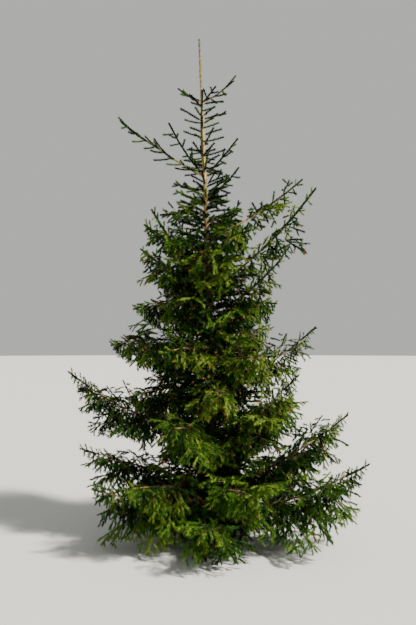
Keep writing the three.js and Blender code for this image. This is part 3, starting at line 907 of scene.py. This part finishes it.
def skeleton(name, kinds, owners_kept, samples):
    """Bare lines of the shoots on some limbs as edges, with what twigs and needles need at each point.
    Each kind comes with its radius at the foot, the share of it that is bare, and its needles' size."""
    lines, thick, size, bushy, tone = [], [], [], [], []
    for kind, foot_radius, start, needle_size in kinds:
        on = kind.kept(np.isin(kind.owners, owners_kept))
        s = mix(start, 1, np.linspace(0, 1, samples))
        at = np.stack([on.point(np.full(len(on.length), value)) for value in s], axis=1)
        lines.append(at)
        stoutness = np.clip(THIN_SHARE + on.length[:, None] / FULL_THICKNESS_LENGTH, 0, 1.25)
        thick.append(mix(foot_radius, 0, s) * stoutness)
        reach = limb_reaches[on.owners][:, None]
        out = lengths((at - trunk_axis(at[..., 2]))[..., :2]) / reach
        hang = limb_hangs[on.owners][:, None]
        inside = np.clip(INSIDE_SLOPE * (1 - out), 0, 1) * hang
        outside = mix(*LIMB_NEEDLES, hang) if kind is limb_ends else mix(*SHOOT_NEEDLES, hang)
        size.append(needle_size * (outside + INSIDE_NEEDLES * inside))
        bushy.append(1 - INSIDE_SPARSE * inside)
        tone.append(np.repeat(dealt_tones(on)[:, None], samples, 1))
    lines = np.concatenate(lines)
    mesh = bpy.data.meshes.new(name)
    mesh.vertices.add(lines.shape[0] * samples)
    mesh.vertices.foreach_set("co", lines.ravel())
    first = np.arange(lines.shape[0] * samples).reshape(-1, samples)
    edges = np.stack([first[:, :-1], first[:, 1:]], axis=-1).reshape(-1, 2)
    mesh.edges.add(len(edges))
    mesh.edges.foreach_set("vertices", edges.ravel())
    for label, values in (("thick", thick), ("size", size), ("bushy", bushy), ("tone", tone)):
        attribute = mesh.attributes.new(label, "FLOAT", "POINT")
        attribute.data.foreach_set("value", np.concatenate(values).ravel())
    mesh.update()
    return in_scene(name, mesh)


def grown(made, tree, values):
    """The plain mesh that a tree of geometry nodes makes of an object, in place of its own."""
    modifier = made.modifiers.new(tree.name, "NODES")
    modifier.node_group = tree
    for item in tree.interface.items_tree:
        if item.name in values:
            modifier[item.identifier] = values[item.name]
    shown = bpy.context.evaluated_depsgraph_get()
    mesh = bpy.data.meshes.new_from_object(made.evaluated_get(shown), depsgraph=shown)
    bare = made.data
    made.modifiers.clear()
    made.data = mesh
    bpy.data.meshes.remove(bare)
    mesh.name = made.name
    return made


def growing_tree(name, inputs, result):
    """A tree of geometry nodes that grows something on bare lines, with these inputs besides them."""
    tree = bpy.data.node_groups.new(name, "GeometryNodeTree")
    tree.interface.new_socket("Shoots", in_out="INPUT", socket_type="NodeSocketGeometry")
    for label, kind in inputs.items():
        tree.interface.new_socket(label, in_out="INPUT", socket_type="NodeSocket" + kind)
    tree.interface.new_socket(result, in_out="OUTPUT", socket_type="NodeSocketGeometry")
    return tree


TWIG_SIDES = 3
TWIG_SAMPLES = 4
FINGER_SAMPLES = 2
COMB_RADIUS = 0.0024
SPRAY_RADIUS = 0.0036
TRUNK_SHOOT_RADIUS = 0.003
TOOTH_RADIUS = 0.0022
FINGER_RADIUS = 0.0028
twig_bark = bark_finish("twig_bark", (0.1, 0.062, 0.03), (0.26, 0.155, 0.06), (0.17, 0.11, 0.06), 0.001)

twig_tree = growing_tree("twig_wood", {"Sides": "Int"}, "Twigs")
wire = Wire(twig_tree)
shoots = wire.make("NodeGroupInput", output=0)
sides = wire.make("NodeGroupInput", output=1)
curves = wire.make("GeometryNodeMeshToCurve", {"Mesh": shoots})
profile = wire.make("GeometryNodeCurvePrimitiveCircle", {"Resolution": sides, "Radius": 1})
values = {"Curve": curves, "Profile Curve": profile, "Scale": wire.attribute("thick"), "Fill Caps": True}
tubes = wire.make("GeometryNodeCurveToMesh", values)
pointed = wire.make("GeometryNodeMergeByDistance", {"Geometry": tubes, "Distance": 0.00002})
whole = wire.make("GeometryNodeRealizeInstances", {"Geometry": pointed})
finished = wire.make("GeometryNodeSetMaterial", {"Geometry": whole, "Material": twig_bark})
wire.make("NodeGroupOutput", {0: finished})

for tier, carried in by_tier.items():
    numbers = [limb.number for limb in carried]
    branches = [
        (combs, COMB_RADIUS, 0, 1),
        (sprays, SPRAY_RADIUS, 0, 1),
        (trunk_twigs, TRUNK_SHOOT_RADIUS, 0, 1),
        (teeth, TOOTH_RADIUS, 0, 1),
    ]
    fingers = (trunk_fingers, limb_fingers, comb_fingers, tooth_fingers)
    fingers = [(kind, FINGER_RADIUS, 0, 1) for kind in fingers]
    parts = (("twigs_", branches, TWIG_SAMPLES), ("finger_twigs_", fingers, FINGER_SAMPLES))
    for name, kinds, samples in parts:
        present = growing_on(numbers, kinds)
        if present:
            lines = skeleton(name + tier, present, numbers, samples)
            wood = grown(lines, twig_tree, {"Sides": TWIG_SIDES})
            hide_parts(*["mass_" + limb.name for limb in carried])
            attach(wood, "root")

# The needles: short stiff blades all round each shoot, that lean forward. Old ones inside the crown are
# painted nearly black green, darker than they are, as painted shade; the youngest shoots are yellow-green,
# and a few dry ones rust brown. A whole shoot is of one tone. On the leader, the trunk's last shoot, they
# are short and lie close to the stem.
NEEDLE_LENGTH = 0.0175
NEEDLE_WIDTH = 0.0039
TUFT_SPACING = 0.0088
TUFT_CLOSENESS = (0.42, 1)
TUFT_NEEDLES = 6
NEEDLE_LEAN = (56, 38)
NEEDLE_SEED = 7
LARGEST_PIECE = 190000
LEADER_HEIGHTS = (3.7, 3.955, 4.205)
LEADER_ROWS = 7
LEADER_SAMPLES = 12
LEADER_NEEDLES = (0.013, 0.0024)
LEADER_TUFT_SPACING = 0.0075
LEADER_LEAN = 30

# Each tone: how far up the scale of tones it reaches, its colour, and its gloss.
NEEDLE_TONES = {
    # The black green tone is darker than needles are: it is painted shade, dealt most inside the crown and
    # on the shaded side.
    "needles_painted_shade": (-0.52, (0.0022, 0.0078, 0.0009), 0.07),
    "needles_dark_green": (-0.04, (0.0075, 0.03, 0.0018), 0.08),
    "needles_green": (0.36, (0.021, 0.07, 0.0035), 0.1),
    "needles_olive": (0.7, (0.057, 0.134, 0.008), 0.14),
    "needles_yellow_green": (0.99, (0.15, 0.232, 0.023), 0.18),
    "needles_rust": (9, (0.13, 0.049, 0.01), 0.12),
}

inputs = {"Length": "Float", "Width": "Float", "Spacing": "Float", "Lean": "Float", "Seed": "Int"}
needle_tree = growing_tree("needles_round_shoots", inputs, "Needles")
wire = Wire(needle_tree)
shoots, length, width, spacing, lean, seed = [wire.make("NodeGroupInput", output=k) for k in range(6)]


def any_number(low, high, salt):
    values = {"Min_001": low, "Max_001": high, "Seed": seed * 10 + salt}
    return wire.make("FunctionNodeRandomValue", values, "Value_001", data_type="FLOAT")


def turned(rotation, x, y, z):
    angles = wire.make("ShaderNodeCombineXYZ", {"X": x, "Y": y, "Z": z})
    turn = wire.make("FunctionNodeEulerToRotation", {"Euler": angles})
    values = {"Rotation": rotation, "Rotate By": turn}
    return wire.make("FunctionNodeRotateRotation", values, rotation_space="LOCAL")


# One needle is a slim blade along X, widest at its foot and pointed at the tip.
blade = wire.make("GeometryNodeMeshCircle", {"Vertices": 3, "Radius": 1}, fill_type="NGON")
raised = wire.make("ShaderNodeCombineXYZ", {"X": length / 3})
slim = wire.make("ShaderNodeCombineXYZ", {"X": length / 1.5, "Y": width / 1.732, "Z": 1})
blade = wire.make("GeometryNodeTransform", {"Geometry": blade, "Translation": raised, "Scale": slim})

# A tuft is one turn of needles round the shoot, each a step further along it than the last.
number = wire.make("GeometryNodeInputIndex")
step = wire.make("ShaderNodeCombineXYZ", {"Z": number * spacing / TUFT_NEEDLES})
ring = wire.make("GeometryNodeMeshLine", {"Count": TUFT_NEEDLES, "Offset": (0, 0, 0)})
ring = wire.make("GeometryNodeSetPosition", {"Geometry": ring, "Position": step})
facing = turned((0, 0, 0), 0, 0, number * GOLDEN_ANGLE)
facing = turned(facing, 0, lean - math.pi / 2 + any_number(-0.2, 0.2, 2), 0)
facing = turned(facing, any_number(0, math.pi, 3), 0, 0)
values = {"Points": ring, "Instance": blade, "Rotation": facing, "Scale": any_number(0.8, 1.1, 4)}
tuft = wire.make("GeometryNodeInstanceOnPoints", values)
tuft = wire.make("GeometryNodeRealizeInstances", {"Geometry": tuft})

curves = wire.make("GeometryNodeMeshToCurve", {"Mesh": shoots})
values = {"Curve": curves, "Length": spacing}
points = wire.make("GeometryNodeCurveToPoints", values, mode="LENGTH")
along = Wire(needle_tree, points.socket.node.outputs["Rotation"])
nods = [any_number(-0.15, 0.15, 5), any_number(-0.15, 0.15, 6)]
along = turned(along, *nods, any_number(0, 2 * math.pi, 7))
size = wire.attribute("size")
bushy = wire.attribute("bushy")
values = {
    "Points": points,
    "Selection": bushy.reckon("GREATER_THAN", bushy, any_number(0, 1, 9)),
    "Instance": tuft,
    "Rotation": along,
    "Scale": size * any_number(0.85, 1.12, 8),
}
needles = wire.make("GeometryNodeInstanceOnPoints", values)
needles = wire.make("GeometryNodeRealizeInstances", {"Geometry": needles})
tone = wire.attribute("tone")
least = None
for name, (most, colour, gloss) in NEEDLE_TONES.items():
    finish, paint = blank_finish(name)
    paint.surface({"Base Color": (*colour, 1), "Roughness": 0.55, "Specular IOR Level": gloss})
    values = {"Geometry": needles, "Material": finish}
    if least is not None:
        values["Selection"] = tone.reckon("GREATER_THAN", tone, least)
    needles = wire.make("GeometryNodeSetMaterial", values)
    least = most
wire.make("NodeGroupOutput", {0: needles})

for tier, carried in by_tier.items():
    kinds = [
        (combs, 0, mix(0.06, 0.3, carried[0].hang), 1),
        (sprays, 0, 0.45, 1),
        (teeth, 0, 0.25, 1),
        (trunk_twigs, 0, 0.12, 1.1),
        (trunk_fingers, 0, 0.06, 1),
        (limb_ends, 0, 0, 1),
        (limb_fingers, 0, 0.06, 1),
        (comb_fingers, 0, 0.06, 1),
        (tooth_fingers, 0, 0.06, 1),
    ]
    numbers = [limb.number for limb in carried]
    present = growing_on(numbers, kinds)
    total = sum(float(kind[0].length[np.isin(kind[0].owners, numbers)].sum()) for kind in present)
    expected = total / TUFT_SPACING * TUFT_NEEDLES
    groups = np.array_split(numbers, max(1, math.ceil(expected / LARGEST_PIECE)))
    closeness = mix(*TUFT_CLOSENESS, min(max((HANG_FROM - carried[0].height) / 1.5, 0), 1))
    for number, group in enumerate(groups, 1):
        name = "needles_" + tier + ("_" + str(number) if len(groups) > 1 else "")
        some = growing_on(group, present)
        values = {
            "Length": NEEDLE_LENGTH,
            "Width": NEEDLE_WIDTH,
            "Spacing": TUFT_SPACING * closeness,
            "Lean": math.radians(mix(*NEEDLE_LEAN, carried[0].hang)),
            "Seed": NEEDLE_SEED,
        }
        foliage = grown(skeleton(name, some, group, TWIG_SAMPLES), needle_tree, values)
        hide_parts(*["mass_" + limb.name for limb in carried if limb.number in group])
        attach(foliage, "root")

angle = even_turns(LEADER_ROWS)
outward = level_directions(angle)
on_stem = [trunk_axis(height) + 0.8 * trunk_radius(height) * outward for height in LEADER_HEIGHTS]
foot, middle, tip = on_stem
bend = 2 * middle - 0.5 * (foot + tip)
leader = Shoots(foot, bend, tip, np.zeros(LEADER_ROWS, int), outward, 0.45 + 0.3 * np.cos(3 * angle))
values = {
    "Length": LEADER_NEEDLES[0],
    "Width": LEADER_NEEDLES[1],
    "Spacing": LEADER_TUFT_SPACING,
    "Lean": math.radians(LEADER_LEAN),
    "Seed": NEEDLE_SEED,
}
last_shoot = skeleton("needles_last_shoot", [(leader, 0, 0, 1)], [0], LEADER_SAMPLES)
foliage = grown(last_shoot, needle_tree, values)
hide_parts("trunk")
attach(foliage, "root")

# The buds: small brown cones of overlapping scales, left by last year's growth on the tip of the leader
# and on the ends of many young shoots, most of them on the sunny side.
BUD_SIZE = (0.0062, 0.024)
BUD_SHARE = {
    "shoulder": 0.1,
    "upper": 0.25,
    "neck": 0.3,
    "waist": 0.6,
    "middle": 0.8,
    "girth": 0.85,
    "lower": 0.35,
}
BUD_CORNERS = 4
BUD_TURN = (0.31, 0.83, 0.47)
LEAST_BUDDED = 0.04

bud_finish, wire = blank_finish("bud_scales")
place = wire.make("ShaderNodeTexCoord", output="Object")
patch = wire.make("ShaderNodeTexNoise", {"Vector": place, "Scale": 38}, "Fac").between(0.35, 0.65)
scales = wire.make("ShaderNodeTexVoronoi", {"Vector": place, "Scale": 420}, "Distance", feature="F1")
colour = patch.blend((0.17, 0.048, 0.007, 1), (0.34, 0.115, 0.016, 1))
relief = {"Height": 1 - scales, "Distance": 0.001, "Strength": 0.5}
# The rims between the scales, where the bump sinks, are painted darker as the shade between them.
values = {
    "Base Color": (scales.between(0.3, 0.8) * 0.6).blend(colour, (0.05, 0.016, 0.004, 1)),
    "Roughness": 0.55 + 0.2 * patch,
    "Normal": wire.make("ShaderNodeBump", relief),
}
wire.surface(values)


def buds_at(feet, headings, sizes):
    """Points and faces of one pointed bud on each foot."""
    across = unit(np.cross(headings, BUD_TURN))
    third = np.cross(headings, across)
    angle = even_turns(BUD_CORNERS)
    round_about = across[:, None] * np.cos(angle)[:, None] + third[:, None] * np.sin(angle)[:, None]
    width, length = sizes[:, None] * BUD_SIZE[0], sizes[:, None] * BUD_SIZE[1]
    ring = (feet + headings * 0.35 * length)[:, None] + round_about * width[..., None]
    feet_inside = (feet - headings * 0.15 * length)[:, None]
    points = np.concatenate([feet_inside, ring, (feet + headings * length)[:, None]], axis=1)
    row = np.arange(BUD_CORNERS)
    following = (row + 1) % BUD_CORNERS
    under = np.stack([0 * row, following + 1, row + 1], axis=1)
    over = np.stack([row + 1, following + 1, 0 * row + BUD_CORNERS + 1], axis=1)
    faces = np.concatenate([under, over])[None] + np.arange(len(feet))[:, None, None] * (BUD_CORNERS + 2)
    return points.reshape(-1, 3), faces.reshape(-1, 3).tolist()


# Five buds close the leader, four of them round the one on its tip.
feet = [trunk_axis(np.full(5, TRUNK_HEIGHT - 0.012))]
turns = np.arange(4) * math.pi / 2 + 0.4
headings = [unit(level_directions(turns) + 1.1 * UP), UP[None]]
sizes = [np.full(4, 0.8), [1.1]]
for kind in (comb_fingers, tooth_fingers, trunk_fingers, teeth):
    sunny = np.clip(kind.tips[:, 0] - kind.tips[:, 1], -0.6, 0.6) / 0.6
    share = np.array([BUD_SHARE.get(limbs[n].tier, 0) for n in kind.owners]) * (1 + 0.7 * sunny)
    number = np.arange(len(kind.length))
    bearing = (0.5 + 0.5 * chance(number, 3, 70) < share) & (kind.length > LEAST_BUDDED)
    on = kind.kept(bearing)
    feet.append(on.tips)
    headings.append(on.heading(np.ones(len(on.length))))
    sizes.append(0.85 + 0.2 * chance(number[bearing], 3, 71))
feet, headings, sizes = np.concatenate(feet), np.concatenate(headings), np.concatenate(sizes)
points, faces = buds_at(feet, headings, sizes)
buds = plain_piece("buds", points, faces, np.ones(len(points)), bud_finish)
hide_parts("trunk", *["mass_" + limb.name for limb in limbs if limb.tier in BUD_SHARE])
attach(buds, "root")

# The stage: a plain pale floor, level with the cut under the trunk and wide enough to reach the horizon.
# It is no part of the tree.
FLOOR_RADIUS = 90
FLOOR_CORNERS = 96
floor_mesh = bpy.data.meshes.new("floor")
rim = FLOOR_RADIUS * level_directions(even_turns(FLOOR_CORNERS))
floor_mesh.from_pydata(rim.tolist(), [], [range(FLOOR_CORNERS)])
floor_finish = bpy.data.materials.new("pale_floor")
floor_finish.use_nodes = True
floor_surface = floor_finish.node_tree.nodes["Principled BSDF"]
floor_surface.inputs["Base Color"].default_value = (0.6, 0.6, 0.58, 1)
floor_surface.inputs["Roughness"].default_value = 0.9
floor_mesh.materials.append(floor_finish)
stage_floor = in_scene("floor", floor_mesh)

# The light: a high soft key light from the right and a little in front, slightly warm, and a pale
# surround that fills the shade.
key = bpy.data.lights.new("key", "SUN")
key.energy = 9
key.angle = math.radians(6)
key.color = (1, 0.96, 0.88)
key_lamp = in_scene("key", key)
towards = mathutils.Vector((0.84, -0.42, 0.92))
key_lamp.rotation_euler = towards.to_track_quat("Z", "Y").to_euler()
world = bpy.data.worlds.new("surround")
world.use_nodes = True
world.node_tree.nodes["Background"].inputs["Color"].default_value = (0.96, 0.98, 0.94, 1)
world.node_tree.nodes["Background"].inputs["Strength"].default_value = 0.55
bpy.context.scene.world = world

# The camera: five metres in front of the trunk at eye height, tilted up a little, with a lens that takes
# in the whole tree and the ground in front of it.
camera = bpy.data.cameras.new("camera")
camera.lens = 35.02
camera.sensor_width = 36
camera.clip_end = 200
viewer = in_scene("camera", camera)
viewer.location = (-0.059, -5.1, 1.6)
viewer.rotation_euler = (math.radians(93.06), 0, 0)
bpy.context.scene.camera = viewer
